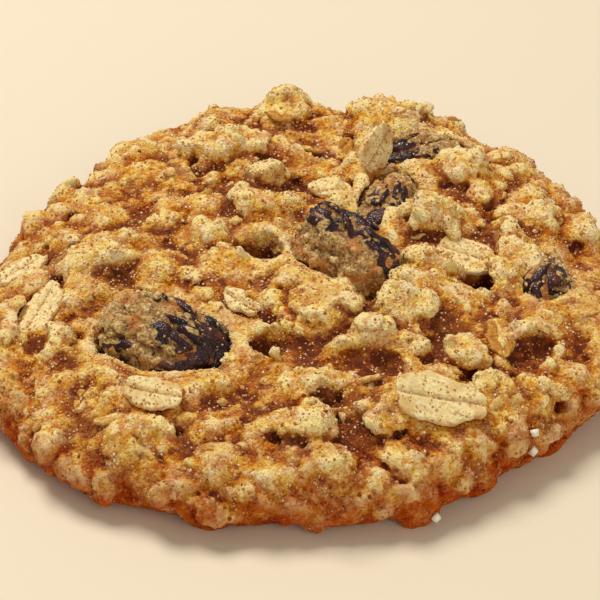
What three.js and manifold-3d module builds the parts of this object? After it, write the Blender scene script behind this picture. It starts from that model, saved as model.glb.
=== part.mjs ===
// An oatmeal raisin cookie: one baked piece of lumpy oat dough, with raisins and loose-lying oat
// flakes set into its crust. Millimetres, +Z up; the origin is under the middle of the cookie, on
// the surface that it rests on, and the cookie's front is towards -Y.
import * as THREE from 'three';
import { mergeVertices } from 'three/addons/utils/BufferGeometryUtils.js';
import Module from 'manifold-3d';

const wasm = await Module();
wasm.setup();

// Driving dimensions of the dough.
const diameter = 72;
const rimHeight = 5.7; // where the rounded edge turns into the top crust
const crownHeight = 8.8; // top crust at the middle, before its lumps
const bellyHeight = 2.3; // height at which the edge is widest
const baseShare = 0.9; // flat underside, as a share of the rim's radius
const crustShare = 0.92; // top crust, as a share of the rim's radius
const backLift = 0.9; // how much thicker the back of the rim is
const clearSpace = 8; // round each of the two open raisins
const seatGap = 0.3; // between a raisin or flake and the crust around it

// The dough's skin is a fine ball of triangles pulled into shape: the ball's upper part becomes the
// crust, the band below it the edge, and the rest the flat base.
const ballDetail = 14;
const crustPart = 0.6;
const basePart = 0.88;

const radius = diameter / 2;
const rad = THREE.MathUtils.degToRad;

// The outline: how far the rim stands out from the mean radius, every 15 degrees from +X towards +Y.
const rimOffsets = [
  0.3, 0.5, 1.5, 2.0, 1.9, 1.3, 1.1, 2.3, 0.9, -2.2, -3.0, -2.3,
  -0.9, 0.9, 1.8, 2.2, 1.9, 0.8, 0.3, 0.6, 0.0, -0.3, 0.9, 1.1,
];

// Masses of oats baked into the crust: [x, y, length, width, turn, rise].
const ridges = [
  [12.0, -9.5, 20, 7.0, 60, 2.7], // long ridge right of the middle
  [14.0, -25.5, 15, 10, -8, 2.6], // front right shelf
  [-16.5, -24.5, 12, 8.0, -14, 1.9], // front left block
  [-21.0, 1.5, 14, 9.5, 22, 2.6], // left slab
  [15.4, 7.4, 11, 6.5, 5, 2.4],
  [3.8, -11.0, 9.0, 8.0, 30, 2.5],
  [-9.5, 21.5, 19, 6.5, 26, 2.0], // back left ridge
  [-2.0, 32.0, 8.0, 7.0, 0, 3.4], // back peak
  [11.5, 29.5, 15, 9.5, -6, 2.8], // back block
  [20.0, 17.5, 11, 9.0, -35, 2.5],
  [27.5, 8.5, 9.0, 7.5, -60, 2.0],
  [25.0, 0.5, 9.0, 6.5, -50, 1.9],
  [26.5, -10.5, 13, 9.0, 55, 1.6],
  [-0.5, -28.5, 9.5, 7.5, 8, 1.7],
  [-27.5, -14.5, 9.0, 7.0, 70, 1.8],
  [-4.5, 9.0, 11, 6.5, -25, 1.8],
  [-25.0, 13.5, 11, 7.0, 40, 1.6],
];

// Hollows that reach under the lumps: [x, y, z, length, width, depth, turn].
const hollows = [
  [19.6, -3.2, 9.4, 4.0, 5.5, 8.0, 10],
  [-4.6, 2.4, 9.0, 6.5, 4.5, 7.0, -20],
  [10.6, 16.6, 9.8, 5.5, 5.0, 7.0, 50],
  [-3.2, -15.0, 8.4, 5.0, 3.6, 5.5, -50],
  [-12.0, 27.0, 8.8, 6.0, 4.5, 5.0, 30],
  [-19.6, -14.4, 7.4, 5.6, 4.6, 5.5, 25],
];

// size is length, width and thickness. turn is the long side's bearing, then dip lowers the far end
// and roll turns the piece about its long side.
const raisins = [
  { name: 'raisin_front_left', at: [-14.2, -13.4, 7.5], size: [14.6, 11.2, 8.8], turn: -17, dip: 5, roll: 14 },
  { name: 'raisin_middle', at: [6.0, 0.1, 8.7], size: [15.0, 10.4, 6.6], turn: -37, dip: 18, roll: 60 },
  { name: 'raisin_behind_middle', at: [10.2, 12.6, 7.3], size: [11.5, 8.0, 6.4], turn: 70, dip: -6, roll: -20 },
  { name: 'raisin_back', at: [15.2, 23.2, 7.4], size: [11.0, 7.6, 5.6], turn: 20, dip: 8, roll: 24 },
  { name: 'raisin_right', at: [27.4, -1.8, 6.9], size: [9.0, 6.4, 5.0], turn: 78, dip: 0, roll: -14 },
];

// above is the height of the flake's middle over the crust there.
const flakes = [
  { name: 'oat_front_right', at: [14.4, -26.2], above: 0.1, size: [10.4, 6.2, 1.5], turn: -8, dip: 3, roll: 8 },
  { name: 'oat_left', at: [-28.2, -7.4], above: 0.0, size: [9.4, 4.8, 1.3], turn: 62, dip: -8, roll: -8 },
  { name: 'oat_far_left', at: [-31.0, 1.2], above: 0.0, size: [7.8, 4.4, 1.3], turn: 34, dip: 0, roll: 10 },
  { name: 'oat_standing', at: [9.2, 19.8], above: 0.9, size: [7.4, 5.2, 1.3], turn: 62, dip: -20, roll: 62 },
  { name: 'oat_ridge', at: [19.2, 1.4], above: 0.2, size: [7.6, 5.0, 1.5], turn: -24, dip: 8, roll: 10 },
  { name: 'oat_behind', at: [3.6, 14.2], above: 0.3, size: [5.6, 4.8, 1.5], turn: 50, dip: 0, roll: 16 },
  { name: 'oat_front_left', at: [-15.0, -24.6], above: 0.1, size: [7.0, 4.4, 1.4], turn: -14, dip: 0, roll: 10 },
  { name: 'oat_split', at: [-6.0, -8.4], above: 0.1, size: [7.0, 2.8, 1.3], turn: -52, dip: 0, roll: 8 },
];

// A small repeatable random number source, so that the crust is the same every time.
function randomFrom(seed) {
  let state = seed;
  return () => {
    state = (state + 0x6d2b79f5) | 0;
    let t = Math.imul(state ^ (state >>> 15), 1 | state);
    t = (t + Math.imul(t ^ (t >>> 7), 61 | t)) ^ t;
    return ((t ^ (t >>> 14)) >>> 0) / 4294967296;
  };
}

const rimCurve = new THREE.CatmullRomCurve3(
  rimOffsets.map((offset, i) => new THREE.Vector3(i, offset, 0)).concat(
    new THREE.Vector3(rimOffsets.length, rimOffsets[0], 0),
  ),
);

// The rim's radius at a bearing in radians.
function rimRadius(bearing) {
  const turns = bearing / (2 * Math.PI);
  return radius + rimCurve.getPoint(turns - Math.floor(turns)).y;
}

// 1 at the middle of an elliptical patch, falling to 0 at its edge, with a rounded top.
function moundShape(x, y, [cx, cy, length, width, turn]) {
  const c = Math.cos(rad(turn));
  const s = Math.sin(rad(turn));
  const along = ((x - cx) * c + (y - cy) * s) / (length / 2);
  const across = ((y - cy) * c - (x - cx) * s) / (width / 2);
  const inside = 1 - along * along - across * across;
  return inside > 0 ? Math.sqrt(inside) * (0.4 + 0.6 * inside) : 0;
}

// Oat lumps between the named masses, spread over the crust by the golden angle. The two raisins that
// lie open keep a clear space round them.
function scatterLumps() {
  const random = randomFrom(7);
  const count = 84;
  const goldenAngle = Math.PI * (3 - Math.sqrt(5));
  return Array.from({ length: count }, (_, i) => {
    const share = Math.sqrt((i + 0.5) / count);
    const bearing = i * goldenAngle + (random() - 0.5) * 0.5;
    const reach = share * radius * 0.97;
    const length = 5.6 + 3.6 * random();
    const width = length * (0.6 + 0.3 * random());
    const rise = 1.0 + 1.5 * random();
    return [reach * Math.cos(bearing), reach * Math.sin(bearing), length, width, 360 * random(), rise];
  }).filter(([x, y]) => raisins.slice(0, 2).every(({ at }) => Math.hypot(x - at[0], y - at[1]) > clearSpace));
}

// Knobs of oats round the edge, laid out along its length and height.
function edgeKnobs() {
  const random = randomFrom(29);
  const count = 38;
  return Array.from({ length: count }, (_, i) => {
    const along = ((i + 0.5 * random()) / count) * 2 * Math.PI * radius;
    const height = 1.8 + 3.4 * random();
    return [along, height, 7 + 4 * random(), 4.2 + 2.6 * random(), 50 * random() - 25, 0.5 + 1.1 * random()];
  });
}

const lumps = [...ridges, ...scatterLumps()];
const knobs = edgeKnobs();

// How far the highest of some mounds stands up at a place.
function highest(mounds, x, y) {
  return mounds.reduce((top, mound) => Math.max(top, mound[5] * moundShape(x, y, mound)), 0);
}

// The crust's height at a share of the rim's radius along a bearing, lumps included.
function crustHeight(share, bearing) {
  const reach = share * rimRadius(bearing);
  const lift = backLift * share * Math.max(0, Math.sin(bearing));
  const dome = rimHeight + lift + (crownHeight - rimHeight) * (1 - share ** 2.4);
  return dome + highest(lumps, reach * Math.cos(bearing), reach * Math.sin(bearing));
}

// The same, at a place in plan.
function crustHeightAt(x, y) {
  const bearing = Math.atan2(y, x);
  return crustHeight(Math.hypot(x, y) / rimRadius(bearing), bearing);
}

// A point of the dough's skin: share of the rim's radius, sideways bulge, and height.
function skinPoint(part, bearing) {
  if (part <= crustPart) {
    const share = crustShare * Math.sqrt(part / crustPart);
    return { share, bulge: 0, z: crustHeight(share, bearing) };
  }
  if (part >= basePart) {
    return { share: baseShare * Math.sqrt((1 - part) / (1 - basePart)), bulge: 0, z: 0 };
  }
  const turn = Math.PI / 2 - (Math.PI * (part - crustPart)) / (basePart - crustPart);
  const inner = turn > 0 ? crustShare : baseShare;
  const reach = turn > 0 ? crustHeight(crustShare, bearing) - bellyHeight : bellyHeight;
  const z = bellyHeight + reach * Math.sin(turn);
  const along = (bearing < 0 ? bearing + 2 * Math.PI : bearing) * radius;
  const bulge = Math.cos(turn) * (highest(knobs, along, z) - 0.5);
  return { share: inner + (1 - inner) * Math.cos(turn) ** 0.8, bulge, z };
}

// The dough before anything is set into it.
function doughBody() {
  const geometry = new THREE.IcosahedronGeometry(1, ballDetail);
  const place = geometry.getAttribute('position');
  for (let i = 0; i < place.count; i++) {
    const bearing = Math.atan2(place.getY(i), place.getX(i));
    const { share, bulge, z } = skinPoint((1 - place.getZ(i)) / 2, bearing);
    const reach = share * rimRadius(bearing) + bulge;
    place.setXYZ(i, reach * Math.cos(bearing), reach * Math.sin(bearing), z);
  }
  return geometry;
}

// A raisin: a plump drop, shrunk into folds that run along it. grow makes its seat in the dough.
function raisinGeometry([length, width, thickness], grow = 0) {
  const geometry = new THREE.SphereGeometry(1, 16, 10);
  geometry.rotateZ(Math.PI / 2);
  const folds = 5;
  const place = geometry.getAttribute('position');
  for (let i = 0; i < place.count; i++) {
    const x = place.getX(i);
    const y = place.getY(i);
    const z = place.getZ(i);
    const around = Math.atan2(z, y);
    const fold = 1 - 0.1 * (1 - x * x) * (0.5 + 0.5 * Math.cos(folds * around + 2 * x));
    const taper = 1 - 0.12 * x;
    place.setXYZ(
      i,
      x * (length / 2 + grow),
      y * fold * taper * (width / 2) + y * grow,
      z * fold * taper * (thickness / 2) + z * grow,
    );
  }
  return geometry;
}

// A rolled oat flake: a thin oval, curled up at its ends, with the grain's crease along its top.
function flakeGeometry([length, width, thickness], grow = 0) {
  const geometry = new THREE.SphereGeometry(1, 12, 6);
  geometry.rotateZ(Math.PI / 2);
  const curl = thickness * 0.5;
  const place = geometry.getAttribute('position');
  for (let i = 0; i < place.count; i++) {
    const x = place.getX(i);
    const y = place.getY(i);
    const z = place.getZ(i);
    const crease = z > 0 ? 0.35 * thickness * Math.exp(-((y / 0.25) ** 2)) * (1 - x * x) : 0;
    place.setXYZ(
      i,
      x * (length / 2 + grow),
      y * (width / 2 + grow),
      z * (thickness / 2 + grow) + curl * x * x - crease,
    );
  }
  return geometry;
}

// Which way the crust faces, averaged over a flake's length.
function crustNormal(x, y) {
  const span = 2.5;
  const slopeX = (crustHeightAt(x + span, y) - crustHeightAt(x - span, y)) / (2 * span);
  const slopeY = (crustHeightAt(x, y + span) - crustHeightAt(x, y - span)) / (2 * span);
  return new THREE.Vector3(-slopeX, -slopeY, 1).normalize();
}

// Rolls a piece about its long side, dips its far end, points it, stands it on what faces up, and
// puts its middle in place.
function pose({ turn, dip, roll, up, at: [x, y, z] }) {
  const upright = new THREE.Quaternion().setFromUnitVectors(new THREE.Vector3(0, 0, 1), up);
  const angles = new THREE.Quaternion().setFromEuler(new THREE.Euler(rad(roll), rad(dip), rad(turn), 'ZYX'));
  return new THREE.Matrix4().makeRotationFromQuaternion(upright.multiply(angles)).setPosition(x, y, z);
}

// A geometry as a solid that can be joined and cut.
function solidOf(geometry) {
  const bare = geometry.clone();
  bare.deleteAttribute('normal');
  bare.deleteAttribute('uv');
  const merged = mergeVertices(bare, 1e-4);
  const vertProperties = merged.getAttribute('position').array;
  const triVerts = new Uint32Array(merged.index.array);
  return new wasm.Manifold(new wasm.Mesh({ numProp: 3, vertProperties, triVerts }));
}

function geometryOf(solid) {
  const { numProp, vertProperties, triVerts } = solid.getMesh();
  const geometry = new THREE.BufferGeometry();
  geometry.setAttribute('position', new THREE.BufferAttribute(vertProperties, numProp));
  geometry.setIndex(new THREE.BufferAttribute(triVerts, 1));
  geometry.computeVertexNormals();
  return geometry;
}

// A hollow in the crust, as the solid to be cut away.
function hollowSolid([x, y, z, length, width, depth, turn]) {
  const geometry = new THREE.SphereGeometry(1, 8, 6);
  geometry.scale(length / 2, width / 2, depth / 2);
  geometry.rotateZ(rad(turn));
  geometry.translate(x, y, z);
  return solidOf(geometry);
}

// Everything set into the crust, each with its geometry maker and its place.
const inlays = [
  ...raisins.map((piece) => ({ ...piece, shape: raisinGeometry, up: new THREE.Vector3(0, 0, 1) })),
  ...flakes.map((piece) => {
    const [x, y] = piece.at;
    const z = crustHeightAt(x, y) + piece.above;
    return { ...piece, shape: flakeGeometry, up: crustNormal(x, y), at: [x, y, z] };
  }),
];

function seatSolid(piece) {
  return solidOf(piece.shape(piece.size, seatGap).applyMatrix4(pose(piece)));
}

function doughGeometry() {
  let body = solidOf(doughBody());
  for (const hollow of hollows) {
    body = body.subtract(hollowSolid(hollow));
  }
  for (const piece of inlays) {
    body = body.subtract(seatSolid(piece));
  }
  const [largest] = body.decompose().sort((a, b) => b.volume() - a.volume());
  return geometryOf(largest);
}

const doughMaterial = new THREE.MeshStandardMaterial({ color: 0xbd8748, roughness: 0.85, metalness: 0 });
const raisinMaterial = new THREE.MeshStandardMaterial({ color: 0x2a1519, roughness: 0.45, metalness: 0 });
const oatMaterial = new THREE.MeshStandardMaterial({ color: 0xe2c98c, roughness: 0.8, metalness: 0 });

const cookie = new THREE.Group();

const dough = new THREE.Mesh(doughGeometry(), doughMaterial);
dough.name = 'dough';
cookie.add(dough);

for (const piece of inlays) {
  const isRaisin = piece.shape === raisinGeometry;
  const mesh = new THREE.Mesh(piece.shape(piece.size), isRaisin ? raisinMaterial : oatMaterial);
  mesh.name = piece.name;
  mesh.applyMatrix4(pose(piece));
  cookie.add(mesh);
}

// The origin is under the middle of the whole cookie.
const bounds = new THREE.Box3().setFromObject(cookie);
const middle = bounds.getCenter(new THREE.Vector3());
for (const mesh of cookie.children) {
  mesh.position.x -= middle.x;
  mesh.position.y -= middle.y;
}

export default cookie;
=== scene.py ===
"""The looks of an oatmeal raisin cookie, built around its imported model.

The dough, the raisins and the oat flakes are sculpted in blocks of small cells, as clay is: lumps
are pressed on, pits are gouged out, and the skin is roughened. Lengths are in millimetres until a
piece is made, and in metres from there on.
"""

import math

import bmesh
import bpy
import numpy as np
import openvdb
from mathutils import Matrix, Vector


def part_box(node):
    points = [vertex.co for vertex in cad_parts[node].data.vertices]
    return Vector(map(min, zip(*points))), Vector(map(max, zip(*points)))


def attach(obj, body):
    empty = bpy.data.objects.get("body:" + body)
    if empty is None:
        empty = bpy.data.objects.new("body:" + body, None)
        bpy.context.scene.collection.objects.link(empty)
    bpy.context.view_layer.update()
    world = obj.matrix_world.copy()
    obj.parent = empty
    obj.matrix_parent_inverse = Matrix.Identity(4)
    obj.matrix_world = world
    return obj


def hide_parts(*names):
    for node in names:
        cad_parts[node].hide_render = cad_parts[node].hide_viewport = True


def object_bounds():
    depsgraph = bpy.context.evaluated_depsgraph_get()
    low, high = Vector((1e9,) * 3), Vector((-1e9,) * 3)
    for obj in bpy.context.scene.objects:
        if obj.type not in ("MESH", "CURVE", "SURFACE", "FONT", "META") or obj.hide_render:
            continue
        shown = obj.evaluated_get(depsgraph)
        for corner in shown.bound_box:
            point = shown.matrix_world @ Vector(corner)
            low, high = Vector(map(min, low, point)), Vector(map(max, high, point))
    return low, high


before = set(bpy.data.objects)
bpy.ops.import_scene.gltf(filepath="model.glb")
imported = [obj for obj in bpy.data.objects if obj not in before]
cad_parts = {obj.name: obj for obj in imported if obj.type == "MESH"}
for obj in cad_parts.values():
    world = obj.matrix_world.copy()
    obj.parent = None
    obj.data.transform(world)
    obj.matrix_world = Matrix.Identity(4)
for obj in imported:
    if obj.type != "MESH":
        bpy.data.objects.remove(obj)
cad_low, cad_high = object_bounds()

MM = 0.001  # metres in a millimetre
FAR = 9.0  # millimetres: farther from the skin than any cell that matters
WHOLE_TURN = 6.3  # radians
BODY = "root"

half_width = (cad_high.x - cad_low.x) / 2 / MM

# The cells that each thing is sculpted in, and the most triangles that its skin may have.
DOUGH_CELL, QUICK_DOUGH_CELL, DOUGH_FACES = 0.2, 0.3, 195000
RAISIN_CELL, RAISIN_FACES = 0.13, 16000
FLAKE_CELL, FLAKE_FACES = 0.12, 7000
SMALL_OAT_CELL, SMALL_OAT_FACES = 0.14, 700
BROKEN_OAT_CELL, BROKEN_OAT_FACES = 0.13, 190


# ---------- camera, light and floor


def make_camera():
    """Looks down at the front of the cookie, which fills the picture from side to side."""
    rise = math.radians(35)
    distance = 0.26
    height = cad_high.z - cad_low.z
    aim = Vector((-0.0001, -0.0004, 0.25 * height))
    camera = bpy.data.objects.new("camera", bpy.data.cameras.new("camera"))
    camera.data.lens = 139.3
    camera.data.sensor_width = 36
    camera.data.clip_start = 0.01
    camera.location = aim + distance * Vector((0, -math.cos(rise), math.sin(rise)))
    camera.rotation_euler = (math.pi / 2 - rise, 0, 0)
    bpy.context.scene.collection.objects.link(camera)
    bpy.context.scene.camera = camera


def make_light(name, place, size, power, colour):
    """A soft panel that faces the cookie."""
    light = bpy.data.objects.new(name, bpy.data.lights.new(name, "AREA"))
    light.data.shape = "DISK"
    light.data.size = size
    light.data.energy = power
    light.data.color = colour
    light.location = place
    light.rotation_euler = Vector(place).to_track_quat("Z", "Y").to_euler()
    bpy.context.scene.collection.objects.link(light)


def make_studio():
    """Warm light from high behind the cookie, a weaker one from the front, and a pale surround."""
    warm_white = (1.0, 0.96, 0.90)
    make_light("key_light", (-0.18, 0.25, 0.56), size=0.30, power=3.3, colour=warm_white)
    make_light("front_fill", (0.25, -0.55, 0.35), size=0.60, power=1.4, colour=warm_white)
    world = bpy.data.worlds.new("studio")
    world.use_nodes = True
    backdrop = world.node_tree.nodes["Background"]
    backdrop.inputs["Color"].default_value = (*warm_white, 1)
    backdrop.inputs["Strength"].default_value = 0.30
    bpy.context.scene.world = world
    bpy.context.scene.view_settings.view_transform = "Standard"


# ---------- material kit


def shade(red, green, blue):
    """A colour as the eye sees it, from 0 to 255 a channel, as the shader's linear values."""

    def linear(value):
        value /= 255
        return value / 12.92 if value <= 0.04045 else ((value + 0.055) / 1.055) ** 2.4

    return (linear(red), linear(green), linear(blue), 1.0)


class Wire:
    """A node's output, which can be added, subtracted and multiplied in plain expressions."""

    def __init__(self, paint, socket):
        self.paint = paint
        self.socket = socket

    def _math(self, operation, first, second):
        return self.paint.node("ShaderNodeMath", {"operation": operation}, {0: first, 1: second})

    def __add__(self, other):
        return self._math("ADD", self, other)

    def __radd__(self, other):
        return self._math("ADD", other, self)

    def __sub__(self, other):
        return self._math("SUBTRACT", self, other)

    def __rsub__(self, other):
        return self._math("SUBTRACT", other, self)

    def __mul__(self, other):
        return self._math("MULTIPLY", self, other)

    def __rmul__(self, other):
        return self._math("MULTIPLY", other, self)


class Paint:
    """A material, and the nodes that give it its look."""

    def __init__(self, name):
        self.material = bpy.data.materials.new(name)
        self.material.use_nodes = True
        self.tree = self.material.node_tree
        self.shader = self.tree.nodes["Principled BSDF"]
        self.place = self.node("ShaderNodeTexCoord", output="Object")

    def node(self, kind, settings=None, sockets=None, output=0):
        """Adds a node, sets it up, feeds its sockets with values or wires, and gives an output."""
        node = self.tree.nodes.new(kind)
        for name, value in (settings or {}).items():
            if name == "stops":
                self._set_stops(node.color_ramp, value)
            else:
                setattr(node, name, value)
        for name, value in (sockets or {}).items():
            self.feed(node.inputs[name], value)
        return Wire(self, node.outputs[output])

    def _set_stops(self, ramp, stops):
        while len(ramp.elements) < len(stops):
            ramp.elements.new(1.0)
        for element, (position, *colour) in zip(ramp.elements, stops):
            element.position = position
            element.color = shade(*colour)

    def feed(self, socket, value):
        if isinstance(value, Wire):
            self.tree.links.new(value.socket, socket)
        else:
            socket.default_value = value

    def set(self, **sockets):
        """Feeds the shader's own sockets, named with _ for each space."""
        for name, value in sockets.items():
            self.feed(self.shader.inputs[name.replace("_", " ")], value)

    def measure(self, name):
        """A value that the sculpting left on each point of the mesh."""
        return self.node("ShaderNodeAttribute", {"attribute_name": name}, output="Fac")

    def noise(self, size, detail=2.0, roughness=0.5, warp=0.0):
        """Cloudy noise from 0 to 1, with patches of about size millimetres."""
        sockets = {
            "Vector": self.place,
            "Scale": 1 / (size * MM),
            "Detail": detail,
            "Roughness": roughness,
            "Distortion": warp,
        }
        return self.node("ShaderNodeTexNoise", None, sockets)

    def grains(self, size, output="Distance"):
        """Distance from the middle of the nearest of many grains of about size millimetres."""
        sockets = {"Vector": self.place, "Scale": 1 / (size * MM)}
        return self.node("ShaderNodeTexVoronoi", None, sockets, output)

    def step(self, amount, start, end):
        """0 where amount is below start, 1 above end, and smooth between."""
        settings = {"interpolation_type": "SMOOTHSTEP"}
        sockets = {"Value": amount, "From Min": start, "From Max": end}
        return self.node("ShaderNodeMapRange", settings, sockets)

    def ramp(self, amount, *stops):
        """A colour for each amount. A stop is an amount, then red, green and blue for shade."""
        return self.node("ShaderNodeValToRGB", {"stops": stops}, {"Fac": amount})

    def mix(self, amount, first, second, blend="MIX"):
        settings = {"data_type": "RGBA", "blend_type": blend}
        sockets = {"Factor": amount, 6: first, 7: second}
        return self.node("ShaderNodeMix", settings, sockets, 2)

    def bump(self, height, depth, under=None):
        """Fine relief of up to depth millimetres, on top of another relief."""
        sockets = {"Height": height, "Distance": depth * MM}
        if under is not None:
            sockets["Normal"] = under
        return self.node("ShaderNodeBump", None, sockets)


# ---------- sculpting kit


class Clay:
    """A block of small cells. gap holds how far each lies from the skin, below 0 inside, in
    millimetres; tone says what the clay is made of there, from 0 to 1."""

    def __init__(self, low, high, cell):
        self.cell = cell
        self.first = np.floor(np.array(low) / cell).astype(int)
        self.shape = tuple(np.ceil(np.array(high) / cell).astype(int) - self.first + 1)
        self.low = self.first * cell
        self.tone = np.zeros(self.shape, np.float32)
        self.gap = np.full(self.shape, FAR, np.float32)
        self.foot = -99.0  # nothing is pressed on below this height

    def axes(self, block=None):
        """The cells' places along X, Y and Z, shaped so that they spread over the block."""
        block = block or tuple(slice(0, count) for count in self.shape)
        steps = [np.arange(part.start, part.stop) for part in block]
        lines = [low + self.cell * step for low, step in zip(self.low, steps)]
        return np.ix_(*[line.astype(np.float32) for line in lines])

    def around(self, place, reach):
        """The part of the block within reach of a place."""
        low = np.floor((place - reach - self.low) / self.cell).astype(int)
        high = np.ceil((place + reach - self.low) / self.cell).astype(int) + 1
        low = np.clip(low, 0, self.shape)
        high = np.clip(high, 0, self.shape)
        return tuple(slice(a, b) for a, b in zip(low, high))

    def distance_to(self, piece, reach, frame_of=None):
        """How far each cell lies from a closed mesh, up to reach, in the piece's own frame."""
        points, corners = points_of(piece), triangles_of(piece)
        if frame_of is not None:
            points = frame_of.inward(points)
        grid = openvdb.FloatGrid.createLevelSetFromPolygons(
            points.astype(np.float32),
            triangles=corners.astype(np.uint32),
            transform=openvdb.createLinearTransform(voxelSize=self.cell),
            halfWidth=reach / self.cell,
        )
        gap = np.empty(self.shape, np.float32)
        grid.copyToArray(gap, ijk=tuple(int(i) for i in self.first))
        return gap

    def noise(self, size, seed):
        """Smooth random values, mostly between -1 and 1, with patches of about size mm, which may
        differ along X, Y and Z."""
        random = np.random.default_rng(seed)
        spacing = np.broadcast_to(size, 3) / 2 / self.cell
        counts = [int(count / step) + 5 for count, step in zip(self.shape, spacing)]
        values = random.uniform(-2, 2, counts).astype(np.float32)
        for axis, count in enumerate(self.shape):
            place = np.arange(count) / spacing[axis]
            base = np.floor(place).astype(int)
            t = (place - base).astype(np.float32)
            curve = (
                (1 - t) ** 3 / 6,
                (3 * t**3 - 6 * t**2 + 4) / 6,
                (-3 * t**3 + 3 * t**2 + 3 * t + 1) / 6,
                t**3 / 6,
            )
            line = [1, 1, 1]
            line[axis] = count
            values = sum(
                weight.reshape(line) * np.take(values, base + i, axis=axis)
                for i, weight in enumerate(curve)
            )
        return values

    def press_on(self, place, turn, size, tone, blend, warp, chips):
        """Joins a lump: an ellipsoid with half-sizes size, turned by the matrix turn, warped, and
        with its ends chipped off flat."""
        block = self.around(place, max(size) + blend + 0.5)
        gap = ellipsoid(self.axes(block), place, turn, size) + warp[block]
        for facing, reach in chips:
            gap = np.maximum(gap, along(self.axes(block), place, facing) - reach)
        self.join(block, gap, tone, blend)

    def join(self, block, gap, tone, blend):
        """Joins another skin, given for a block of cells, with its own tone."""
        share = np.clip(0.5 + 0.5 * (self.gap[block] - gap) / blend, 0, 1)
        self.gap[block] += share * (gap - self.gap[block]) - blend * share * (1 - share)
        self.tone[block] += share * (tone - self.tone[block])

    def gouge(self, place, turn, size, blend, warp):
        """Takes an ellipsoid away."""
        block = self.around(place, max(size) + blend + 0.5)
        gap = -ellipsoid(self.axes(block), place, turn, size) + warp[block]
        share = np.clip(0.5 - 0.5 * (self.gap[block] - gap) / blend, 0, 1)
        self.gap[block] += share * (gap - self.gap[block]) + blend * share * (1 - share)

    def sample(self, values, points):
        """The values at any points, blended from the cells around each."""
        place = np.clip((points - self.low) / self.cell, 0, np.array(self.shape) - 1.001)
        base = place.astype(int)
        part = place - base
        total = np.zeros(len(points), np.float32)
        for corner in np.ndindex(2, 2, 2):
            weight = np.prod(np.where(corner, part, 1 - part), axis=1)
            i, j, k = (base + corner).T
            total += weight * values[i, j, k]
        return total

    def enclosure(self, reach):
        """How much clay lies within reach: a half on a flat skin, more in a crevice."""
        filled = np.clip(0.5 - self.gap / self.cell, 0, 1)
        return softened(filled, max(1, round(reach / self.cell)))

    def height_at(self, x, y):
        """Height of the skin at a place in plan."""
        i, j = (round((value - low) / self.cell) for value, low in zip((x, y), self.low))
        filled = np.nonzero(self.gap[i, j] < 0)[0]
        return self.low[2] + self.cell * filled[-1]

    def facing(self, points, reach):
        """Which way the skin faces at some points, taken over about reach."""
        level = softened(np.clip(self.gap, -2, 2), round(reach / self.cell))
        slopes = [
            self.sample(level, points + step) - self.sample(level, points - step)
            for step in reach * np.eye(3)
        ]
        facing = np.stack(slopes, axis=1)
        return facing / (np.linalg.norm(facing, axis=1)[:, None] + 1e-9)

    def surface(self):
        """The skin's points and four-cornered faces."""
        grid = openvdb.FloatGrid(FAR)
        grid.transform = openvdb.createLinearTransform(voxelSize=self.cell)
        grid.copyFromArray(self.gap, ijk=tuple(int(i) for i in self.first))
        points, quads = grid.convertToQuads()
        return points, quads.astype(np.int64)

    def skin(self, name, most_faces):
        """The skin as a mesh of at most so many triangles, in metres, without loose bits."""
        points, quads = largest_part(*self.surface())
        piece = new_piece(name, points * MM, quads)
        thin = piece.modifiers.new("thin", "DECIMATE")
        thin.ratio = min(1.0, most_faces / (2 * len(quads)))
        thin.use_collapse_triangulate = True
        return settled(piece)


def along(axes, place, facing):
    """How far each cell lies from a place in the direction of facing."""
    x, y, z = axes
    return (x - place[0]) * facing[0] + (y - place[1]) * facing[1] + (z - place[2]) * facing[2]


def ellipsoid(axes, place, turn, size):
    """About how far each cell lies from an ellipsoid's skin."""
    steps = [along(axes, place, turn[:, i]) / size[i] for i in range(3)]
    ratio = np.sqrt(sum(step**2 for step in steps)) + 1e-6
    slope = np.sqrt(sum((step / size[i]) ** 2 for i, step in enumerate(steps))) + 1e-6
    return ratio * (ratio - 1) / slope


def softened(values, reach):
    """Each value averaged with those up to reach cells away, along one axis after another."""
    width = 2 * reach + 1
    for axis in range(3):
        edges = [(reach + 1, reach) if i == axis else (0, 0) for i in range(3)]
        total = np.cumsum(np.pad(values, edges, mode="edge"), axis=axis, dtype=np.float64)
        upper = np.take(total, range(width, total.shape[axis]), axis=axis)
        lower = np.take(total, range(total.shape[axis] - width), axis=axis)
        values = ((upper - lower) / width).astype(np.float32)
    return values


def largest_part(points, quads):
    """Drops every part of a mesh that isn't joined to the largest one."""
    ends = np.concatenate([quads[:, [i, (i + 1) % 4]] for i in range(4)])
    label = np.arange(len(points))
    while True:
        before = label.copy()
        lowest = np.minimum(label[ends[:, 0]], label[ends[:, 1]])
        np.minimum.at(label, ends[:, 0], lowest)
        np.minimum.at(label, ends[:, 1], lowest)
        label = label[label]
        if np.array_equal(before, label):
            break
    kept = label == np.bincount(label).argmax()
    number = np.cumsum(kept) - 1
    return points[kept], number[quads[kept[quads[:, 0]]]]


def new_piece(name, points, faces):
    """A piece from an array of points and one of faces that all have as many corners."""
    mesh = bpy.data.meshes.new(name)
    corners = faces.shape[1]
    mesh.vertices.add(len(points))
    mesh.vertices.foreach_set("co", np.asarray(points, np.float32).ravel())
    mesh.loops.add(faces.size)
    mesh.loops.foreach_set("vertex_index", faces.astype(np.int32).ravel())
    mesh.polygons.add(len(faces))
    mesh.polygons.foreach_set("loop_start", np.arange(0, faces.size, corners, dtype=np.int32))
    mesh.update(calc_edges=True)
    mesh.shade_smooth()
    piece = bpy.data.objects.new(name, mesh)
    bpy.context.scene.collection.objects.link(piece)
    return piece


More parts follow.
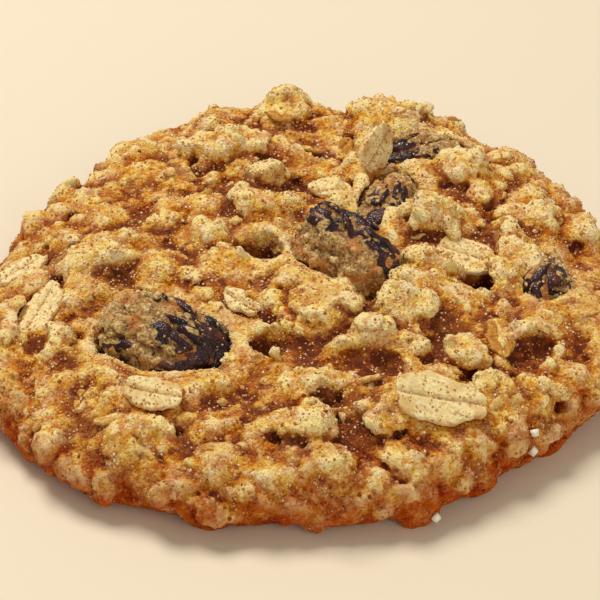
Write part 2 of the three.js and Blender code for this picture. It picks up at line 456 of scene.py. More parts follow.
def settled(piece):
    """Applies the piece's modifiers."""
    shaped = bpy.data.meshes.new_from_object(
        piece.evaluated_get(bpy.context.evaluated_depsgraph_get())
    )
    shaped.name = piece.name
    piece.modifiers.clear()
    piece.data = shaped
    return piece


def points_of(piece):
    """The piece's points, in millimetres."""
    points = np.empty(len(piece.data.vertices) * 3, np.float32)
    piece.data.vertices.foreach_get("co", points)
    return points.reshape(-1, 3) / MM


def move_points(piece, points):
    """Puts the piece's points at places given in millimetres."""
    piece.data.vertices.foreach_set("co", (points * MM).astype(np.float32).ravel())
    piece.data.update()


def triangles_of(piece):
    piece.data.calc_loop_triangles()
    corners = np.empty(len(piece.data.loop_triangles) * 3, np.int32)
    piece.data.loop_triangles.foreach_get("vertices", corners)
    return corners.reshape(-1, 3)


def keep_measure(piece, name, values):
    """Leaves a value on each point, for the material."""
    attribute = piece.data.attributes.new(name, "FLOAT", "POINT")
    attribute.data.foreach_set("value", np.asarray(values, np.float32))


def turned(facing, spin, lean, bearing):
    """A frame whose third axis faces along facing, leaned over and spun, as a 3 by 3 array."""
    upright = Vector(facing).to_track_quat("Z", "Y").to_matrix()
    lean = Matrix.Rotation(lean, 3, Vector((math.cos(bearing), math.sin(bearing), 0)))
    return np.array(upright @ lean @ Matrix.Rotation(spin, 3, "Z"))


def turned_at_random(random, facing, most_lean):
    """The same, spun at random and leaned over at random by up to most_lean."""
    spin = random.uniform(0, WHOLE_TURN)
    lean = random.uniform(0, most_lean)
    return turned(facing, spin, lean, random.uniform(0, WHOLE_TURN))


def finish_piece(piece, slot, paint, *nodes):
    """Gives a piece its material and its body, and hides the nodes that it stands for."""
    piece.data.materials.clear()
    piece.data.materials.append(paint.material)
    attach(piece, BODY)
    if nodes:
        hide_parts(*nodes)


# ---------- dough


class Skin:
    """Places spread over the clay's skin, above its flat base."""

    def __init__(self, clay):
        points, quads = clay.surface()
        self.corners = points[np.concatenate([quads[:, [0, 1, 2]], quads[:, [0, 2, 3]]])]
        first, second, third = (self.corners[:, i] for i in range(3))
        cross = np.cross(second - first, third - first)
        area = np.linalg.norm(cross, axis=1)
        self.facing = cross / (area[:, None] + 1e-9)
        usable = (self.corners[:, :, 2].mean(axis=1) > clay.foot) & (self.facing[:, 2] > -0.5)
        self.weight = np.where(usable, area, 0).astype(float)
        self.weight /= self.weight.sum()

    def places(self, random, count):
        """Random places and the way that the skin faces at each."""
        chosen = random.choice(len(self.weight), count, p=self.weight)
        a, b = random.random((2, count, 1))
        over = a + b > 1
        a, b = np.where(over, 1 - a, a), np.where(over, 1 - b, b)
        first, second, third = (self.corners[chosen, i] for i in range(3))
        return first + a * (second - first) + b * (third - first), self.facing[chosen]

    def spread(self, random, tries, spacing):
        """Places that keep their distance from each other: spacing gives it for each try."""
        points, facing = self.places(random, tries)
        kept = []
        for i in range(tries):
            others = points[kept]
            apart = np.linalg.norm(others - points[i], axis=1) if kept else np.array([99.0])
            if apart.min() > spacing[i]:
                kept.append(i)
        return points[kept], facing[kept], np.array(kept)


def random_chips(random, size, count):
    """Flat faces that cut a lump's sides, each facing its own way."""
    chips = []
    for _ in range(count):
        facing = random.normal(size=3)
        facing /= np.linalg.norm(facing)
        chips.append((facing, random.uniform(0.45, 0.8) * np.linalg.norm(facing * size)))
    return chips


def press_lumps(clay, seed, tries, sizes, spacing, flatness, sink, tones, blend, warp, kept_clear):
    """Presses coated oats on over the skin as it is now. sizes are their longest half-sizes;
    spacing and flatness are shares of that, and sink is a share of the half height. kept_clear
    holds how far each cell is from what they mustn't cover."""
    random = np.random.default_rng(seed)
    size = random.uniform(*sizes, tries)
    points, facings, kept = Skin(clay).spread(random, tries, spacing * size)
    room = clay.sample(kept_clear, points)
    for point, facing, half, clear in zip(points, facings, size[kept], room):
        shape = half * np.array([1.0, random.uniform(0.55, 0.9), random.uniform(*flatness)])
        turn = turned_at_random(random, facing, 0.5)
        place = point - facing * shape[2] * random.uniform(*sink)
        chips = random_chips(random, shape, 3)
        tone = random.uniform(*tones)
        if clear > 0.7 * half:
            clay.press_on(place, turn, shape, tone, blend, warp, chips)


def prick_holes(clay, seed, tries, sizes, spacing, least_depth, warp):
    """Small dark holes, in the hollows of the skin."""
    random = np.random.default_rng(seed)
    size = random.uniform(*sizes, tries)
    points, facings, kept = Skin(clay).spread(random, tries, spacing * size)
    depth = clay.sample(clay.enclosure(1.2), points)
    for point, facing, half, enclosed in zip(points, facings, size[kept], depth):
        shape = half * np.array([1.0, random.uniform(0.5, 0.8), random.uniform(0.9, 1.8)])
        turn = turned_at_random(random, facing, 0.6)
        if enclosed > least_depth:
            clay.gouge(point, turn, shape, 0.4, warp)


# Holes and dark hollows between the lumps: place in plan as shares of the half width, then length,
# width and depth, and the bearing of the long side in degrees.
HOLLOWS = [
    (0.19, -0.18, 5.4, 2.4, 4.4, 60),
    (0.54, -0.08, 4.6, 3.2, 5.0, 60),
    (-0.12, 0.03, 6.4, 3.6, 5.4, -25),
    (-0.54, -0.44, 4.8, 4.0, 5.0, 60),
    (0.28, 0.48, 4.0, 3.0, 4.5, 50),
    (0.28, 0.65, 4.4, 3.0, 3.4, 40),
    (-0.09, -0.31, 4.4, 2.4, 4.0, -50),
    (-0.33, 0.72, 4.6, 2.6, 3.6, 30),
    (-0.01, -0.46, 8.4, 4.8, 4.0, -40),
    (0.18, -0.53, 9.0, 4.0, 3.0, -12),
    (0.64, -0.26, 6.0, 4.4, 2.8, 70),
    (0.66, -0.44, 7.0, 4.4, 2.6, 40),
    (-0.29, -0.51, 5.4, 2.8, 3.4, 0),
    (-0.57, -0.10, 5.0, 2.2, 3.4, 10),
    (-0.15, 0.61, 5.0, 3.4, 2.6, 0),
    (-0.77, -0.40, 5.0, 3.2, 2.6, 70),
    (-0.20, -0.67, 6.0, 2.8, 2.8, 10),
    (0.10, -0.68, 5.4, 2.6, 2.8, -10),
    (0.02, 0.42, 6.0, 3.4, 2.6, 20),
]


# The large masses of oats: place in plan as shares of the half width, then length, width and
# height, the bearing of the long side in degrees, and how pale the mass is.
MASSES = [
    (0.42, -0.03, 6.0, 5.6, 7.6, 64, 0.9),
    (0.36, -0.16, 7.6, 5.8, 8.6, 62, 1.0),
    (0.30, -0.29, 7.6, 6.0, 8.6, 60, 0.9),
    (0.22, -0.42, 6.4, 5.8, 7.6, 60, 1.0),
    (0.10, 0.39, 4.4, 3.8, 5.4, 0, 0.9),
    (0.42, 0.18, 10.0, 6.0, 5.6, 5, 0.7),
    (0.05, -0.27, 6.6, 6.2, 7.0, 30, 0.7),
    (-0.03, -0.15, 3.8, 3.4, 3.6, 0, 0.7),
    (-0.57, -0.01, 12.0, 8.0, 4.4, 22, 0.7),
    (0.51, 0.50, 8.0, 6.0, 4.6, -35, 0.5),
    (0.66, 0.01, 6.4, 5.0, 4.4, -50, 0.6),
    (0.74, 0.25, 7.0, 5.4, 4.0, -60, 0.5),
    (-0.14, 0.24, 7.0, 4.4, 3.6, -25, 0.5),
    (-0.26, 0.57, 13.0, 4.6, 4.0, 26, 0.5),
    (-0.42, -0.80, 8.0, 5.6, 4.6, -10, 0.5),
    (0.00, -0.80, 7.0, 5.6, 4.6, 10, 0.6),
    (0.26, -0.74, 8.6, 6.0, 5.0, -8, 0.6),
    (-0.05, 0.90, 7.0, 6.0, 5.6, 0, 0.5),
    (0.32, 0.84, 12.0, 6.4, 4.4, -6, 0.5),
]


def press_masses(clay, seed, warp):
    """Presses the large masses on, with their middles a fifth of their height under the skin."""
    random = np.random.default_rng(seed)
    for share_x, share_y, length, width, height, bearing, tone in MASSES:
        x, y = share_x * half_width, share_y * half_width
        place = np.array([x, y, clay.height_at(x, y) - 0.2 * height])
        lean, lean_bearing = random.uniform(0, 0.2), random.uniform(0, WHOLE_TURN)
        turn = turned((0, 0, 1), math.radians(bearing), lean, lean_bearing)
        size = np.array([length, width, height]) / 2
        clay.press_on(place, turn, size, tone, 0.7, warp, random_chips(random, size, 5))


def dig_hollows(clay, warp):
    """Gouges the hollows out of the skin as it is now."""
    for share_x, share_y, length, width, depth, bearing in HOLLOWS:
        x, y = share_x * half_width, share_y * half_width
        place = np.array([x, y, clay.height_at(x, y)])
        turn = turned((0, 0, 1), math.radians(bearing), 0, 0)
        size = np.array([length, width, depth]) / 2
        clay.gouge(place, turn, size, 1.0, warp)


def distance_to_all(clay, start):
    """How far each cell lies from the nearest of the nodes whose names start so."""
    nodes = [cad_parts[name] for name in sorted(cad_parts) if name.startswith(start)]
    return np.minimum.reduce([clay.distance_to(node, 3.0) for node in nodes])


def sculpt_dough():
    """The dough's clay, and how far each cell lies from the raisins and flakes set into it.
    Oats of three sizes are pressed on in turn, and the hollows dug before the smallest go on."""
    cell = DOUGH_CELL
    low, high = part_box("dough")
    margin = 2.0
    clay = Clay(np.array(low) / MM - margin, np.array(high) / MM + margin, cell)
    clay.foot = 1.0
    clay.gap = softened(clay.distance_to(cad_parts["dough"], 2.0), round(0.45 / cell))
    from_raisin = distance_to_all(clay, "raisin")
    from_flake = distance_to_all(clay, "oat")
    inlay = np.minimum(from_raisin, from_flake)
    bedding = np.minimum(from_raisin + 1.0, from_flake + 0.3)
    clay.gap = np.minimum(clay.gap, bedding)

    warp = 0.22 * clay.noise(2.2, 2) + 0.09 * clay.noise(1.1, 3)
    broad_warp = 0.4 * clay.noise(4.0, 1) + warp
    ragged = 0.14 * clay.noise(1.0, 8)
    patchy = np.minimum(inlay, 2.4 - 1.5 * clay.noise(7.0, 6))
    press_lumps(
        clay, 11, 500, sizes=(2.2, 3.8), spacing=1.2, flatness=(0.35, 0.5), sink=(0.3, 0.9),
        tones=(0.2, 0.7), blend=0.6, warp=broad_warp, kept_clear=inlay,
    )
    press_masses(clay, 16, broad_warp)
    press_lumps(
        clay, 12, 3500, sizes=(1.0, 2.2), spacing=0.95, flatness=(0.35, 0.5), sink=(0.4, 1.0),
        tones=(0.2, 1.0), blend=0.4, warp=warp, kept_clear=patchy,
    )
    dig_hollows(clay, broad_warp)
    prick_holes(clay, 14, 900, sizes=(0.4, 0.9), spacing=2.2, least_depth=0.58, warp=2 * warp)
    press_lumps(
        clay, 13, 6000, sizes=(0.4, 0.9), spacing=1.5, flatness=(0.5, 0.8), sink=(0.4, 1.0),
        tones=(0.1, 0.9), blend=0.2, warp=ragged, kept_clear=inlay,
    )
    clay.gap += 0.07 - 0.10 * np.abs(clay.noise(1.1, 4)) - 0.10 * np.abs(clay.noise(0.6, 5))
    clay.gap += 0.08 * clay.noise(0.45, 7)
    clay.gap = np.maximum(clay.gap, 0.15 - from_raisin)  # bares the raisins
    clay.gap = np.maximum(clay.gap, -clay.axes()[2])  # flattens the foot
    return clay, inlay


def make_dough(clay):
    """The dough, standing flat on the floor, with what its colours go by."""
    piece = clay.skin("dough_body", DOUGH_FACES)
    points = points_of(piece)
    points[:, 2] = np.maximum(points[:, 2], 0.0)
    move_points(piece, points)
    keep_measure(piece, "oat", clay.sample(clay.tone, points))
    # crevice, hollow and sunk say how enclosed each point is; the paint darkens by them as painted
    # shade
    for name, reach in (("crevice", 0.5), ("hollow", 1.8), ("sunk", 4.0)):
        keep_measure(piece, name, clay.sample(clay.enclosure(reach), points))
    finish_piece(piece, "baked_dough", make_dough_paint(), "dough")


def toasted(paint, colour):
    """The colour, browned towards the foot of the cookie."""
    height = paint.node("ShaderNodeSeparateXYZ", None, {"Vector": paint.place}, "Z")
    toast = paint.step(height + 0.012 * (paint.noise(2.4, 3.0) - 0.5), 0.0090, 0.0010)
    return paint.mix(toast, colour, paint.mix(1.0, colour, shade(196, 108, 24), "MULTIPLY"))


def crust_relief(paint):
    """Fine grains on a slightly uneven skin."""
    relief = paint.bump(paint.noise(0.4, 2.0, 0.6), 0.14)
    return paint.bump(paint.grains(0.26), 0.10, relief)


def make_dough_paint():
    """Golden coated oats over a dark, sugary brown crumb, browner towards the foot. light says
    how pale the crust is: it falls in crevices, hollows and sunk places as painted shade, rises on
    ridges as painted light, and rises a little to the back as painted light."""
    paint = Paint("baked_dough")
    oat, crevice, hollow = (paint.measure(name) for name in ("oat", "crevice", "hollow"))
    fine = paint.noise(0.3, 3.0, 0.7)
    patch = paint.noise(3.2, 3.0)
    cells = paint.grains(0.22, output="Color")
    grain = paint.node("ShaderNodeSeparateColor", None, {"Color": cells}, "Red")
    kind = paint.node("ShaderNodeSeparateColor", None, {"Color": cells}, "Green")
    # far: the crust is painted paler towards the back, as painted light
    far = paint.node("ShaderNodeSeparateXYZ", None, {"Vector": paint.place}, "Y")
    # sunk: how deep the skin lies, which darkens the crust as painted shade
    sunk = paint.step(paint.measure("sunk") + 0.10 * (paint.noise(1.6, 3.0) - 0.5), 0.45, 0.67)
    light = 0.3 * oat + 0.5 * (fine - 0.5) + 0.28 * (grain - 0.5) + 0.5 * (paint.noise(1.1) - 0.5)
    # painted shade and light: darker where the skin lies in crevices and hollows, paler on ridges
    light = light + 0.6 * (patch - 0.5) + 0.7 * (0.5 - crevice) + 1.7 * (0.5 - hollow)
    light = light - 0.32 * sunk + far + 0.50
    golden = paint.ramp(
        light,
        (0.00, 90, 32, 2),
        (0.18, 138, 64, 6),
        (0.36, 182, 108, 22),
        (0.55, 218, 160, 58),
        (0.75, 236, 198, 102),
        (1.00, 247, 226, 152),
    )
    rosy = paint.ramp(
        light,
        (0.00, 74, 28, 12),
        (0.18, 112, 52, 26),
        (0.36, 156, 90, 48),
        (0.55, 200, 142, 82),
        (0.75, 228, 188, 122),
        (1.00, 244, 222, 168),
    )
    colour = paint.mix(paint.step(paint.noise(1.8, 2.0, 0.6, 0.5), 0.44, 0.60), golden, rosy)
    orange = paint.step(paint.noise(1.3, 2.0, 0.6, 0.4), 0.54, 0.64)
    colour = paint.mix(0.5 * orange, colour, shade(206, 106, 26))
    # mauve-brown in the hollows: partly the crumb's own colour, partly painted shade
    mauve_and_hollow_shade = paint.step(hollow + 0.2 * sunk + 0.7 * (paint.noise(5.0) - 0.5), 0.55, 0.70)
    colour = paint.mix(0.5 * mauve_and_hollow_shade, colour, shade(118, 66, 44))
    colour = paint.mix(0.4 * paint.step(kind, 0.86, 0.90), colour, shade(206, 102, 34))
    colour = paint.mix(0.3 * paint.step(kind, 0.06, 0.03), colour, shade(118, 54, 26))
    colour = toasted(paint, colour)
    glint = paint.step(kind, 0.90, 0.94)
    rough = 0.5 + 0.4 * fine - 0.35 * glint
    paint.set(Base_Color=colour, Roughness=rough, Normal=crust_relief(paint))
    paint.set(Specular_IOR_Level=0.06)
    return paint


# ---------- raisins and flakes


class Bench:
    """A piece's own frame: its middle, and its long, middling and short directions."""

    def __init__(self, node):
        points = points_of(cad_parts[node])
        low, high = points.min(axis=0), points.max(axis=0)
        self.place = (low + high) / 2
        directions = np.linalg.svd(points - points.mean(axis=0), full_matrices=False)[2]
        for direction in directions[1:]:
            direction *= np.sign(direction[2]) or 1
        directions[0] = np.cross(directions[1], directions[2])
        self.turn = directions.T.astype(float)
        inner = self.inward(points)
        low, high = inner.min(axis=0), inner.max(axis=0)
        self.half = (high - low) / 2
        self.place = self.place + self.turn @ ((low + high) / 2)

    def inward(self, points):
        """Places in the model as places in the piece's frame."""
        return (points - self.place) @ self.turn

    def outward(self, piece):
        """Moves a mesh from the piece's frame to its place in the model."""
        move_points(piece, points_of(piece) @ self.turn.T + self.place)


def make_raisin(node, seed, bare_faces):
    """A shrunken raisin under a film of dough, but for its bare faces. Each of those is the way it
    faces, and how far out from the middle it starts."""
    bench = Bench(node)
    clay = Clay(-bench.half - 1.2, bench.half + 1.2, RAISIN_CELL)
    clay.gap = softened(clay.distance_to(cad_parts[node], 1.5, bench), 3)
    folds = clay.noise((5.5, 2.4, 2.4), seed)
    creases = clay.noise((3.0, 1.2, 1.2), seed + 1)
    clay.gap += 0.35 * clay.noise((7, 4, 4), seed + 2) - 0.1
    clay.gap += 0.75 * np.exp(-((folds / 0.2) ** 2)) + 0.3 * np.exp(-((creases / 0.22) ** 2))
    clay.gap += 0.05 * clay.noise(0.6, seed + 3)
    x, y, z = clay.axes()
    film = 0.6 * clay.noise(2.6, seed + 4) + 0.5 * clay.noise(1.1, seed + 5)
    cover = np.full(clay.shape, FAR, np.float32)
    for facing, start in bare_faces:
        facing = bench.turn.T @ np.array(facing)
        side = (x * facing[0] + y * facing[1] + z * facing[2]) / bench.half.mean()
        cover = np.minimum(cover, 1.6 * (start - side))
    film = np.clip(film + cover, -1.0, 1.0)
    crumb = 0.24 * np.abs(clay.noise(1.0, seed + 6)) + 0.12 * np.abs(clay.noise(0.5, seed + 7))
    coat = softened(clay.gap, 2) - 0.20 * film - crumb + 0.09
    clay.join(..., coat, 1.0, 0.1)
    ragged = 0.12 * clay.noise(0.8, seed + 8)
    press_lumps(
        clay, seed + 9, 500, sizes=(0.35, 0.9), spacing=1.3, flatness=(0.5, 0.8), sink=(0.2, 0.7),
        tones=(0.9, 1.0), blend=0.12, warp=ragged, kept_clear=2.2 * film,
    )
    piece = clay.skin(node + "_skin", RAISIN_FACES)
    points = points_of(piece)
    keep_measure(piece, "film", clay.sample(clay.tone, points))
    keep_measure(piece, "crevice", clay.sample(clay.enclosure(0.5), points))
    bench.outward(piece)
    finish_piece(piece, "raisin", raisin_paint, node)
    return piece


def make_raisin_paint():
    """Purple-black skin under a grey-brown film of dough; the film is darker in its creases as
    painted shade, and paler on its ridges as painted light.
    """
    paint = Paint("raisin")
    film = paint.step(paint.measure("film") + 0.5 * (paint.noise(0.5, 2.0) - 0.5), 0.35, 0.65)
    fine = paint.noise(0.3, 3.0, 0.65)
    skin = paint.ramp(
        paint.noise(1.8, 3.0),
        (0.35, 24, 11, 15),
        (0.58, 62, 27, 30),
        (0.76, 112, 60, 44),
    )
    # painted shade and light: the film is darker in creases, paler on ridges
    dough = paint.ramp(
        fine + 0.8 * (0.5 - paint.measure("crevice")),
        (0.28, 92, 56, 30),
        (0.46, 162, 122, 68),
        (0.62, 206, 172, 108),
        (0.76, 234, 212, 156),
    )
    amber = paint.step(paint.noise(2.8, 2.0, 0.6), 0.48, 0.60)
    dough = paint.mix(0.6 * amber, dough, shade(200, 122, 52))
    specks = paint.step(paint.noise(0.5, 2.0), 0.42, 0.36)
    dough = paint.mix(0.5 * specks, dough, shade(74, 46, 36))
    relief = paint.bump(paint.grains(0.24), 0.07)
    paint.set(Base_Color=paint.mix(film, skin, dough), Roughness=0.30 + 0.5 * film, Normal=relief)
    paint.set(Specular_IOR_Level=0.35)
    return paint


def sculpt_flake(half, seed, cell, split):
    """A rolled oat: a thin frayed oval, curled at its ends, with the grain's crease along it. A
    split one is cracked open at one end."""
    random = np.random.default_rng(seed)
    margin = np.array([0.8, 0.8, 1.6])
    clay = Clay(-half - margin, half + margin, cell)
    x, y, z = clay.axes()
    across = y / half[1]
    lengthwise = x / half[0]
    oval = np.sqrt(lengthwise**2 + across**2 + 0 * z)
    edge = (oval - 1) * half[1] + 0.42 * clay.noise((1.6, 1.6, 9), seed) + 0.1
    sag = 0.55 * half[2] * (lengthwise**2 - 0.3) + 0.25 * clay.noise((4.5, 4.5, 20), seed + 1)
    crease = 0.32 * np.exp(-(((y - 0.25 * np.sin(1.5 * lengthwise)) / 0.28) ** 2))
    thick = 0.34 + 0.24 * np.clip(1 - oval, 0, 1) + 0.07 * clay.noise((2.6, 0.6, 2), seed + 2)
    above = z - sag
    slab = np.maximum(above - thick + crease, -above - thick)
    clay.gap = smooth_most(edge, slab, 0.25)
    if split:
        reach = np.clip(lengthwise, 0, 1)
        crack = np.abs(y + 0.2 * np.sin(4 * lengthwise)) - 0.32 * reach
        clay.gap = np.maximum(clay.gap, np.where(reach > 0, -crack, -FAR))
    clay.gap += 0.05 * clay.noise(0.5, seed + 3) + 0.03 * clay.noise(0.3, seed + 5)
    clay.tone = clay.noise(2.2, seed + 4) + random.uniform(-0.3, 0.3) + 0.5 * oval - 0.4
    return clay


def smooth_most(first, second, blend):
    """The greater of two distances, rounded where they meet."""
    share = np.clip(0.5 + 0.5 * (first - second) / blend, 0, 1)
    return second + share * (first - second) + blend * share * (1 - share)


def measured_flake(clay, name, most_faces):
    """A flake's skin, its points, and what its colours go by at each point."""
    piece = clay.skin(name, most_faces)
    points = points_of(piece)
    measures = {
        "bran": clay.sample(clay.tone, points),
        "crevice": clay.sample(clay.enclosure(0.4), points),
    }
    return piece, points, measures


def make_large_flake(node, seed):
    bench = Bench(node)
    clay = sculpt_flake(0.96 * bench.half, seed, FLAKE_CELL, "split" in node)
    piece, _, measures = measured_flake(clay, node + "_flake", FLAKE_FACES)
    for name, values in measures.items():
        keep_measure(piece, name, values)
    bench.outward(piece)
    finish_piece(piece, "oat_flake", flake_paint, node)
    return piece


def make_flake_paint():
    """Cream oat, tan where bran or dough clings to it, and browner in its creases as painted
    shade.
    """
    paint = Paint("oat_flake")
    fine = paint.noise(0.35, 3.0, 0.6)
    bran = paint.step(paint.measure("bran") + 1.2 * (fine - 0.5), 0.1, 0.9)
    cream = paint.ramp(
        fine,
        (0.32, 220, 184, 112),
        (0.50, 242, 218, 150),
        (0.66, 252, 238, 192),
    )
    colour = paint.mix(0.6 * bran, cream, shade(212, 156, 76))
    # painted shade: browner where the skin lies in a crease
    crevice_shade = paint.step(paint.measure("crevice"), 0.52, 0.66)
    colour = paint.mix(0.6 * crevice_shade, colour, shade(150, 96, 46))
    specks = paint.step(paint.noise(0.8, 2.0), 0.60, 0.66)
    colour = paint.mix(0.4 * specks, colour, shade(184, 112, 46))
    relief = paint.bump(paint.noise(0.25, 3.0, 0.7), 0.08)
    paint.set(Base_Color=colour, Roughness=0.6 + 0.2 * fine, Normal=relief)
    paint.set(Specular_IOR_Level=0.35)
    return paint


RAISINS = {  # the bare faces: which way each faces, and how far out from the middle it starts
    "raisin_front_left": [((0.85, -0.35, 0.1), 0.30), ((-0.6, -0.7, -0.3), 0.75)],
    "raisin_middle": [((0.55, 0.75, 0.25), 0.22), ((0.8, -0.5, -0.2), 1.1)],
    "raisin_behind_middle": [((0.2, -0.4, 0.9), 0.65)],
    "raisin_back": [((-0.6, -0.5, 0.6), 0.45)],
    "raisin_right": [((0.1, -0.5, 0.8), 0.65)],
}


# ---------- strewn things


def frames_on(random, facings, lean):
    """A frame for each thing laid on the skin: spun at random, and leaned over by about lean."""
    up = facings + lean * random.normal(size=facings.shape)
    up /= np.linalg.norm(up, axis=1)[:, None]
    side = np.cross(up, random.normal(size=up.shape))
    side /= np.linalg.norm(side, axis=1)[:, None]
    return np.stack([side, np.cross(up, side), up], axis=2)


def strew(name, shapes, places, turns, sizes, random):
    """Joins copies of some shapes into one piece. A shape is its points, its triangles and the
    measures of its points."""
    chosen = random.integers(len(shapes), size=len(places))
    points, faces, measures, first = [], [], [], 0
    for number, (shape_points, shape_faces, shape_measures) in enumerate(shapes):
        mine = chosen == number
        copies = np.einsum("nij,kj->nki", turns[mine], shape_points) * sizes[mine, None, None]
        copies += places[mine, None]
        copies = copies[copies[:, :, 2].min(axis=1) > 0.05]
        count = len(copies)
        starts = first + len(shape_points) * np.arange(count)
        points.append(copies.reshape(-1, 3))
        faces.append((shape_faces[None] + starts[:, None, None]).reshape(-1, 3))
        tint = np.repeat(random.random(count), len(shape_points))
        own = {key: np.tile(values, count) for key, values in shape_measures.items()}
        measures.append({"tint": tint, **own})
        first += len(shape_points) * count
    piece = new_piece(name, np.concatenate(points) * MM, np.concatenate(faces))
    for key in measures[0]:
        keep_measure(piece, key, np.concatenate([part[key] for part in measures]))
    return piece


def grain_shape(random):
    """A sugar crystal: a block with uneven corners."""
    corners = np.array(list(np.ndindex(2, 2, 2))) - 0.5
    corners = corners * (1.0, 0.85, 0.7) + random.uniform(-0.12, 0.12, (8, 3))
    sides = [(0, 1, 3, 2), (4, 6, 7, 5), (0, 4, 5, 1), (2, 3, 7, 6), (0, 2, 6, 4), (1, 5, 7, 3)]
    faces = [side[:3] for side in sides] + [(side[0], side[2], side[3]) for side in sides]
    return corners, np.array(faces), {}


def crumb_shape(random):
    """A rough crumb."""
    ball = bmesh.new()
    bmesh.ops.create_icosphere(ball, subdivisions=2, radius=0.5)
    points = np.array([vertex.co for vertex in ball.verts])
    faces = np.array([[vertex.index for vertex in face.verts] for face in ball.faces])
    ball.free()
    points *= random.uniform(0.7, 1.1, (len(points), 1))
    return points * random.uniform(0.6, 1.0, 3), faces, {}


def oat_shape(half, seed, cell, most_faces, breaks=0):
    """A small rolled oat, with so many pieces broken off."""
    clay = sculpt_flake(np.array(half), seed, cell, False)
    random = np.random.default_rng(seed)
    for _ in range(breaks):
        bearing = random.uniform(0, WHOLE_TURN)
        facing = np.array([math.cos(bearing), math.sin(bearing), 0.2])
        clay.gap = np.maximum(clay.gap, along(clay.axes(), (0, 0, 0), facing) - 0.35 * half[0])
    piece, points, measures = measured_flake(clay, "oat_shape", most_faces)
    triangles = triangles_of(piece)
    bpy.data.objects.remove(piece)
    return points, triangles, measures


def clear_places(clay, inlay, random, tries, sizes, spacing, room):
    """Places spread over the dough's skin, clear of what is set into it."""
    size = random.uniform(*sizes, tries)
    points, facings, kept = Skin(clay).spread(random, tries, spacing * size)
    size = size[kept]
    clear = clay.sample(inlay, points) > room * size
    return points[clear], facings[clear], size[clear]


def strew_oats(clay, inlay):
    """Small rolled oats, baked flat into the crust."""
    random = np.random.default_rng(41)
    shapes = [
        oat_shape((2.4 + 0.2 * i, 1.7, 0.45), 500 + 10 * i, SMALL_OAT_CELL, SMALL_OAT_FACES)
        for i in range(5)
    ]
    points, _, size = clear_places(clay, inlay, random, 90, (0.7, 1.1), 7.0, 1.8)
    level = clay.facing(points, 1.4)
    upper = level[:, 2] > 0.8
    points, level, size = points[upper], level[upper], size[upper]
    turns = frames_on(random, level, 0.25)
    points = points - level * random.uniform(0.15, 0.5, (len(points), 1))
    piece = strew("small_oats", shapes, points, turns, size, random)
    finish_piece(piece, "oat_flake", coated_oat_paint)


def strew_broken_oats(clay, inlay):
    """Broken oats, sunk nearly halfway into the crust."""
    random = np.random.default_rng(42)
    shapes = [
        oat_shape((1.5, 1.1, 0.42), 600 + 10 * i, BROKEN_OAT_CELL, BROKEN_OAT_FACES, 2)
        for i in range(6)
    ]
    points, facings, size = clear_places(clay, inlay, random, 450, (0.5, 1.0), 3.8, 0.9)
    level = clay.facing(points, 0.8)
    upper = level[:, 2] > 0.5
    points, facings, level, size = points[upper], facings[upper], level[upper], size[upper]
    turns = frames_on(random, level, 0.3)
    points = points - 0.45 * facings * size[:, None]
    piece = strew("broken_oats", shapes, points, turns, size, random)
    finish_piece(piece, "oat_flake", coated_oat_paint)


def add_places_on(random, piece, count, points, facings):
    """Adds places on the upper side of a piece's skin, and the way that it faces at each."""
    normals = np.empty(len(piece.data.vertices) * 3, np.float32)
    piece.data.vertices.foreach_get("normal", normals)
    normals = normals.reshape(-1, 3)
    chosen = random.choice(np.nonzero(normals[:, 2] > 0.1)[0], count)
    points = np.concatenate([points, points_of(piece)[chosen]])
    return points, np.concatenate([facings, normals[chosen]])


def strew_crumbs(clay, inlay, inlays):
    """Crumbs on the dough, and a few smaller ones on each raisin and large flake."""
    random = np.random.default_rng(43)
    shapes = [crumb_shape(random) for _ in range(8)]
    points, facings, size = clear_places(clay, inlay, random, 3600, (0.35, 0.8), 1.05, 0.3)
    most, on_each = 1900, 14
    points, facings, size = points[:most], facings[:most], size[:most]
    for piece in inlays:
        points, facings = add_places_on(random, piece, on_each, points, facings)
        size = np.concatenate([size, random.uniform(0.2, 0.5, on_each)])
    turns = frames_on(random, facings, 0.5)
    points = points - 0.15 * facings * size[:, None]
    piece = strew("crumbs", shapes, points, turns, size, random)
    finish_piece(piece, "baked_dough", crumb_paint)


def strew_sugar(clay, inlays):
    """Sugar grains over the whole skin."""
    random = np.random.default_rng(44)
    shapes = [grain_shape(random) for _ in range(12)]
    on_dough, on_each = 14000, 60
    points, facings = Skin(clay).places(random, on_dough)
    for piece in inlays:
        points, facings = add_places_on(random, piece, on_each, points, facings)
    size = random.uniform(0.12, 0.26, len(points))
    turns = frames_on(random, facings, 0.8)
    piece = strew("sugar_grains", shapes, points, turns, size, random)
    finish_piece(piece, "sugar", make_sugar_paint())


# The large pale grains stuck to the front edge: about where, as shares of the half width.
PALE_GRAINS = [(0.35, -0.92, 0.01), (0.60, -0.66, 0.10), (0.61, -0.72, 0.06)]


def strew_pale_grains(clay):
    """Each grain stands on the place of the skin that is nearest to the one wanted."""
    random = np.random.default_rng(45)
    points, facings = Skin(clay).places(random, 6000)
    wanted = np.array(PALE_GRAINS) * half_width
    nearest = [np.argmin(np.linalg.norm(points - place, axis=1)) for place in wanted]
    points, facings = points[nearest] + 0.3 * facings[nearest], facings[nearest]
    turns = frames_on(random, facings, 0.4)
    size = np.full(len(points), 0.8)
    piece = strew("pale_grains", [grain_shape(random)], points, turns, size, random)
    paint = Paint("pale_grain")
    paint.set(Base_Color=shade(250, 240, 214), Roughness=0.4)
    finish_piece(piece, "sugar", paint)


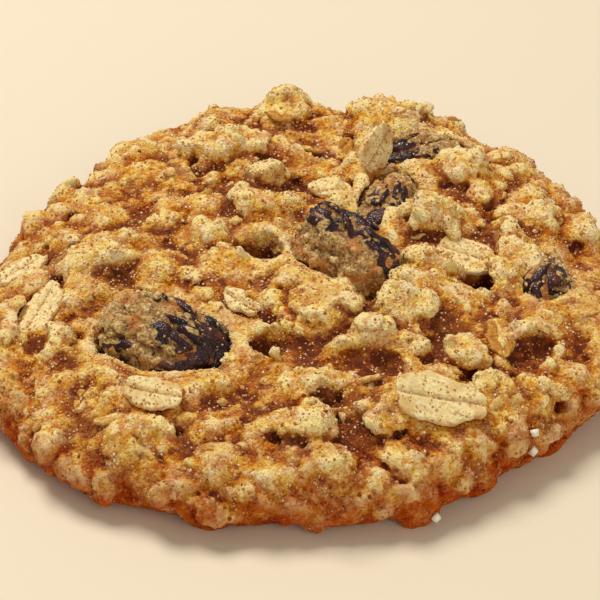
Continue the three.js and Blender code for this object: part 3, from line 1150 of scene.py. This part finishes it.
def make_coated_oat_paint():
    """Oat under a golden coat of dough, darker in its creases as painted shade and paler on its
    ridges as painted light.
    """
    paint = Paint("coated_oat")
    fine = paint.noise(0.3, 3.0, 0.65)
    tint, crevice = paint.measure("tint"), paint.measure("crevice")
    # painted shade and light: the coat is darker where its skin lies in a crease, paler on ridges
    light = 0.9 * (fine - 0.5) + 0.5 * (tint - 0.5) + 0.8 * (0.5 - crevice)
    colour = paint.ramp(
        light + 0.5,
        (0.10, 146, 80, 24),
        (0.35, 200, 140, 60),
        (0.60, 224, 180, 98),
        (0.90, 242, 216, 146),
    )
    colour = paint.mix(0.5 * paint.step(paint.noise(0.7), 0.52, 0.64), colour, shade(190, 104, 36))
    rough = 0.6 + 0.3 * fine
    paint.set(Base_Color=toasted(paint, colour), Roughness=rough, Normal=crust_relief(paint))
    paint.set(Specular_IOR_Level=0.1)
    return paint


def make_crumb_paint():
    """Crumbs, from brown to pale gold, each in its own tint."""
    paint = Paint("crumb")
    fine = paint.noise(0.3, 3.0, 0.65)
    colour = paint.ramp(
        0.6 * (fine - 0.5) + paint.measure("tint"),
        (0.00, 146, 76, 26),
        (0.20, 178, 106, 40),
        (0.55, 206, 148, 70),
        (1.00, 240, 208, 138),
    )
    relief = paint.bump(paint.grains(0.2), 0.07)
    paint.set(Base_Color=toasted(paint, colour), Roughness=0.6 + 0.3 * fine, Normal=relief)
    paint.set(Specular_IOR_Level=0.1)
    return paint


def make_sugar_paint():
    """Sugar, from clear white to caramel."""
    paint = Paint("sugar")
    colour = paint.ramp(
        paint.measure("tint"),
        (0.10, 188, 116, 48),
        (0.50, 216, 160, 84),
        (0.82, 238, 202, 134),
        (1.00, 255, 244, 224),
    )
    paint.set(Base_Color=toasted(paint, colour), Roughness=0.22, Specular_IOR_Level=0.6)
    return paint


# ---------- the whole


def make_floor():
    """A plain pale floor, just under the cookie."""
    mesh = bpy.data.meshes.new("floor")
    reach = 3.0
    corners = [(-reach, -reach, 0), (reach, -reach, 0), (reach, reach, 0), (-reach, reach, 0)]
    mesh.from_pydata(corners, [], [(0, 1, 2, 3)])
    floor = bpy.data.objects.new("floor", mesh)
    bpy.context.scene.collection.objects.link(floor)
    floor.location.z = cad_low.z
    paint = Paint("pale_floor")
    paint.set(Base_Color=shade(234, 220, 193), Roughness=0.6)
    mesh.materials.append(paint.material)


make_camera()
make_studio()
make_floor()
raisin_paint = make_raisin_paint()
flake_paint = make_flake_paint()
coated_oat_paint = make_coated_oat_paint()
crumb_paint = make_crumb_paint()
clay, inlay = sculpt_dough()
make_dough(clay)
inlays = []
for number, (node, bare_faces) in enumerate(RAISINS.items()):
    inlays.append(make_raisin(node, 100 + 20 * number, bare_faces))
for number, node in enumerate(sorted(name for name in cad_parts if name.startswith("oat"))):
    inlays.append(make_large_flake(node, 300 + 20 * number))
strew_oats(clay, inlay)
strew_broken_oats(clay, inlay)
strew_crumbs(clay, inlay, inlays)
strew_sugar(clay, inlays)
strew_pale_grains(clay)
